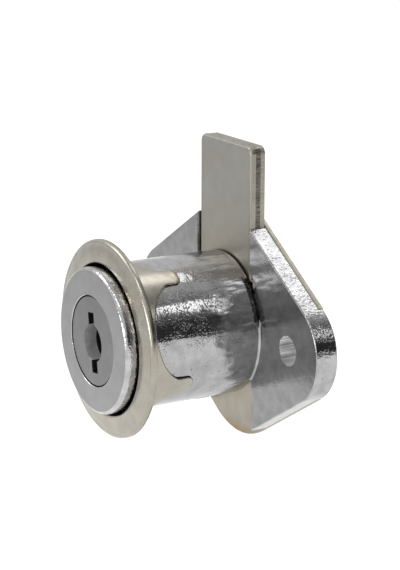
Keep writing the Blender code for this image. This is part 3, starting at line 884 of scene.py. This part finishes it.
def add_pits(s, size, depth, normal):
    """Sparse pits in patches, most of them on the barrel's upper front."""
    spots = s.remap(s.noise(size, 2), 0.53, 0.72, 0, 1)
    patches = s.remap(s.noise(PIT_PATCH_SIZE, 2), 0.38, 0.6, 0.15, 1)
    towards_front = s.remap(s.along((0, 1, 0)), -3 * MM, -9 * MM, 0.3, 1)
    upper_side = s.remap(s.along((0, 0, 1)), -1 * MM, 2.5 * MM, 0.1, 1)
    amount = s.times(patches, s.times(towards_front, upper_side))
    return s.bump(s.times(spots, amount), depth, normal)


def barrel_rear(s):
    """1 along the rear of the barrel, 0 in front of it and on the flange."""
    y = s.along((0, 1, 0))
    return s.times(s.remap(y, -8 * MM, -5 * MM, 0, 1), s.remap(y, -0.8 * MM, -0.3 * MM, 1, 0))


def metal(
    name,
    light,
    dark,
    roughness,
    bumps,
    tint=None,
    specks=0.0,
    stretch=(1, 1, 1),
    metallic=1.0,
    pits=None,
    foot=None,
):
    """Plated metal with uneven colour and roughness, and bumps of (size, depth).

    Options: a stain's colour, the amount of dark specks, a casting's pits of (size, depth) with its ripples,
    and a colour that comes in downwards as (colour, z start, z end).
    """
    s = Shader(name)
    colour = s.mix(s.remap(s.noise(SHADE_SIZE, 3, stretch), 0.35, 0.65, 0, 1), dark, light)
    if tint:
        colour = s.mix(s.remap(s.noise(STAIN_SIZE, 2), 0.52, 0.75, 0, 1), colour, tint)
    if foot:
        foot_colour, start, end = foot
        uneven = s.remap(s.noise(FOOT_PATCH_SIZE, 2), 0.3, 0.7, 0.4, 1)
        lower = s.remap(s.along((0, 0, 1)), start, end, 0, 1)
        colour = s.mix(s.times(lower, uneven), colour, foot_colour)
    if specks:
        speck = s.remap(s.noise(SPECK_SIZE, 1), 0.74 - specks, 0.80 - specks, 0, 1)
        colour = s.mix(speck, colour, SPECK_COLOUR)
    rough = s.remap(s.noise(POLISH_SIZE, 3, stretch), 0.3, 0.7, *roughness)
    normal = None
    for size, depth in bumps:
        normal = s.bump(s.noise(size, 2, stretch), depth, normal)
    if pits:
        normal = add_pits(s, *pits, normal)
        rear = barrel_rear(s)
        rough = s.times(rough, s.remap(rear, 0, 1, 1, REAR_ROUGHENING))
        normal = s.bump(s.times(s.noise(RIPPLE_SIZE, 1, RIPPLE_STRETCH), rear), RIPPLE_DEPTH, normal)
    s.link(colour, s.shader, "Base Color")
    s.shader.inputs["Metallic"].default_value = metallic
    s.link(rough, s.shader, "Roughness")
    s.link(normal, s.shader, "Normal")
    return s.material


def grey(value):
    """Neutral metal with a trace of blue."""
    return (value, value, value * 1.01)


def make_materials():
    """All metals by name: their lighter and darker colour, roughness from and to, bumps, and options."""
    return {
        "chrome": metal(
            "chromed_zinc",
            grey(0.45),
            grey(0.35),
            (0.03, 0.09),
            [(1.3 * MM, 0.014 * MM), (0.5 * MM, 0.004 * MM)],
            specks=0.03,
            pits=(0.24 * MM, 0.033 * MM),
        ),
        "cast_face": metal(
            "chromed_cast_face",
            grey(0.31),
            grey(0.245),
            (0.1, 0.18),
            [(1.6 * MM, 0.03 * MM), (0.22 * MM, 0.012 * MM)],
            specks=0.03,
        ),
        "cast_edge": metal(
            "chromed_cast_edge",
            grey(0.46),
            grey(0.33),
            (0.05, 0.12),
            [(0.9 * MM, 0.05 * MM), (0.33 * MM, 0.045 * MM)],
            specks=0.02,
        ),
        "ring_edge": metal(
            "ring_edge_chrome",
            grey(0.6),
            grey(0.42),
            (0.03, 0.08),
            [(0.7 * MM, 0.06 * MM), (0.25 * MM, 0.03 * MM)],
        ),
        # Screw hole walls are near-white with dark bands across them in place of chrome: painted reflections.
        "screw_hole": metal(
            "screw_hole_painted_reflections",
            grey(1.0),
            grey(0.13),
            (0.2, 0.3),
            [FINE],
            stretch=(12, 12, 0.42),
            metallic=0.25,
        ),
        "ring_face": metal("ring_face_satin", grey(0.33), grey(0.295), (0.34, 0.42), [SATIN]),
        "plug_face": metal("plug_face_satin", grey(0.22), grey(0.196), (0.36, 0.44), [SATIN]),
        # The round keyhole's wall is much lighter than the plug face of the same zinc: painted light, as if
        # lit from the front.
        "keyhole": metal("keyhole_wall_painted_light", grey(0.85), grey(0.7), (0.28, 0.38), [FINE], metallic=0.7),
        # Near-black metal for the bore, its grooves and the deep keyhole: painted shade, not the zinc's own
        # colour.
        "inner": metal("inner_painted_shade", grey(0.06), grey(0.03), (0.5, 0.6), [(0.4 * MM, 0.01 * MM)]),
        "rosette": metal(
            "rosette_nickel",
            (0.43, 0.407, 0.355),
            (0.375, 0.353, 0.302),
            (0.2, 0.3),
            [(2.5 * MM, 0.012 * MM), FINE],
            tint=(0.40, 0.355, 0.275),
        ),
        # Near-black nickel on the sheet's faces towards the barrel: painted shade.
        "shaded": metal("rosette_inside_painted_shade", (0.07, 0.065, 0.055), (0.03, 0.028, 0.025), (0.4, 0.5), [FINE]),
        "bolt": metal(
            "bolt_nickel",
            (0.34, 0.332, 0.304),
            (0.313, 0.306, 0.279),
            (0.36, 0.46),
            [(3.0 * MM, 0.008 * MM), FINE],
            tint=(0.335, 0.303, 0.25),
            foot=((0.325, 0.29, 0.235), 16 * MM, 9 * MM),
        ),
        "sheared": metal(
            "bolt_sheared_edge",
            (0.42, 0.39, 0.33),
            (0.30, 0.28, 0.245),
            (0.3, 0.45),
            [(0.2 * MM, 0.012 * MM)],
            specks=0.03,
            stretch=(1, 3, 1),
        ),
        "torn": metal(
            "bolt_torn_edge",
            (0.26, 0.24, 0.21),
            (0.12, 0.11, 0.098),
            (0.35, 0.55),
            [(0.2 * MM, 0.03 * MM)],
            specks=0.08,
            stretch=(1, 3, 1),
        ),
        "plate": metal(
            "nickel_plate",
            (0.38, 0.355, 0.30),
            (0.33, 0.305, 0.25),
            (0.3, 0.42),
            [(2.5 * MM, 0.01 * MM), FINE],
            tint=(0.36, 0.315, 0.22),
            foot=((0.30, 0.20, 0.085), -14 * MM, -15.9 * MM),
        ),
        # Wafer and retainer brass is nearly black: partly graphite, partly painted shade that keeps the
        # keyhole dark inside.
        "brass": metal(
            "graphite_and_painted_shade_brass",
            (0.09, 0.065, 0.035),
            (0.05, 0.04, 0.025),
            (0.4, 0.55),
            [FINE],
            tint=(0.03, 0.027, 0.025),
        ),
        "steel": metal("spring_wire", grey(0.55), grey(0.4), (0.2, 0.32), [FINE], stretch=(3, 1, 1)),
    }


# Studio


def make_floor():
    """Floor under the lock, white from its own glow and slightly greyer far in front, which the flange's face
    reflects; the glow is painted light that also washes out the lock's shadow.
    """
    bm = bmesh.new()
    bmesh.ops.create_circle(bm, cap_ends=True, segments=96, radius=FLOOR_RADIUS)
    floor = make_object("floor", bm)
    floor.location.z = cad_bounds[0][2] - FLOOR_GAP
    s = Shader("glowing_floor")
    s.shader.inputs["Base Color"].default_value = (0.2, 0.2, 0.2, 1)
    s.shader.inputs["Roughness"].default_value = 0.9
    s.shader.inputs["Emission Color"].default_value = (1, 1, 1, 1)
    along = s.along(FLOOR_DIRECTION)
    glow = s.remap(along, FLOOR_NEAR, FLOOR_FAR, FLOOR_NEAR_GLOW, FLOOR_FAR_GLOW)
    s.link(glow, s.shader, "Emission Strength")
    floor.data.materials.append(s.material)


def add_softbox(name, direction, size, power):
    """Area light that faces the lock from a direction."""
    light = bpy.data.lights.new(name, "AREA")
    light.shape = "RECTANGLE"
    light.size, light.size_y = size
    light.energy = power
    obj = bpy.data.objects.new(name, light)
    bpy.context.scene.collection.objects.link(obj)
    away = Vector(direction).normalized()
    obj.location = away * SOFTBOX_DISTANCE
    obj.rotation_euler = away.to_track_quat("Z", "Y").to_euler()


def make_world():
    """Studio walls: bright to the lock's left and in front, dark at eye level behind its right side."""
    world = bpy.data.worlds.new("studio")
    bpy.context.scene.world = world
    world.use_nodes = True
    tree = world.node_tree
    coordinates = tree.nodes.new("ShaderNodeTexCoord")
    split = tree.nodes.new("ShaderNodeSeparateXYZ")
    tree.links.new(coordinates.outputs["Generated"], split.inputs[0])
    walls = []
    for stops in (DARK_WALL, BRIGHT_WALL):
        ramp = tree.nodes.new("ShaderNodeValToRGB")
        tree.links.new(split.outputs["Z"], ramp.inputs["Fac"])
        elements = ramp.color_ramp.elements
        for position, _ in stops[1:-1]:
            elements.new(position)
        for element, (position, value) in zip(elements, stops):
            element.position = position
            element.color = (value, value, value, 1)
        walls.append(ramp.outputs["Color"])
    away = tree.nodes.new("ShaderNodeVectorMath")
    away.operation = "DOT_PRODUCT"
    away.inputs[1].default_value = AWAY_FROM_DARK_WALL
    tree.links.new(coordinates.outputs["Generated"], away.inputs[0])
    side = tree.nodes.new("ShaderNodeMapRange")
    tree.links.new(away.outputs["Value"], side.inputs["Value"])
    side.inputs["From Min"].default_value = DARK_UNTIL
    side.inputs["From Max"].default_value = BRIGHT_FROM
    mix = tree.nodes.new("ShaderNodeMix")
    mix.data_type = "RGBA"
    tree.links.new(side.outputs["Result"], mix.inputs[0])
    tree.links.new(walls[0], mix.inputs[6])
    tree.links.new(walls[1], mix.inputs[7])
    tree.links.new(mix.outputs[2], tree.nodes["Background"].inputs["Color"])


def make_camera():
    """The photograph's camera: to the lock's right, above it, and rolled by a hair."""
    azimuth, elevation, roll = CAMERA_AZIMUTH, CAMERA_ELEVATION, CAMERA_ROLL
    level_part = math.cos(elevation)
    forward = Vector((-math.sin(azimuth) * level_part, math.cos(azimuth) * level_part, -math.sin(elevation)))
    level = forward.cross(Vector((0, 0, 1))).normalized()
    above = level.cross(forward)
    right = level * math.cos(roll) + above * math.sin(roll)
    up = above * math.cos(roll) - level * math.sin(roll)
    data = bpy.data.cameras.new("camera")
    data.lens = CAMERA_LENS
    data.sensor_width = CAMERA_SENSOR
    data.clip_start = CAMERA_CLIP
    camera = bpy.data.objects.new("camera", data)
    bpy.context.scene.collection.objects.link(camera)
    turn = Matrix((right, up, -forward)).transposed().to_4x4()
    camera.matrix_world = Matrix.Translation(CAMERA_PLACE) @ turn
    bpy.context.scene.camera = camera


def build_pieces(materials):
    """The finer pieces that stand in for five CAD nodes."""
    housing = make_housing(
        materials["chrome"],
        materials["cast_face"],
        materials["cast_edge"],
        materials["ring_edge"],
        materials["ring_face"],
        materials["screw_hole"],
        materials["inner"],
    )
    plate = make_back_plate(materials["plate"], materials["screw_hole"])
    bolt = make_bolt(materials["bolt"], materials["sheared"], materials["torn"])
    plug = make_plug(materials["plug_face"], materials["keyhole"], materials["inner"])
    rosette = make_rosette(materials["rosette"], materials["shaded"])
    for piece, body, node, slot in (
        (housing, "case", "housing", "chromed_zinc"),
        (plate, "case", "back_plate", "nickel_plate"),
        (bolt, "bolt", "bolt", "bolt_nickel"),
        (plug, "plug", "plug", "satin_plug"),
        (rosette, "rosette", "rosette", "rosette_nickel"),
    ):
        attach(piece, body)
        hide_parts(node)


def dress_inner_parts(materials):
    """The wafers, the retainer and their springs keep their CAD meshes."""
    for name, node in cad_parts.items():
        # The wafers and the retainer get the nearly black brass, partly painted shade; their springs get
        # steel.
        kind = "steel" if "spring" in name else "brass"
        if name.startswith(("wafer", "retainer")):
            node.data.materials.clear()
            node.data.materials.append(materials[kind])


def main():
    materials = make_materials()
    build_pieces(materials)
    dress_inner_parts(materials)
    make_floor()
    make_world()
    for softbox in SOFTBOXES:
        add_softbox(*softbox)
    make_camera()
    bpy.context.scene.view_settings.view_transform = "Standard"


main()
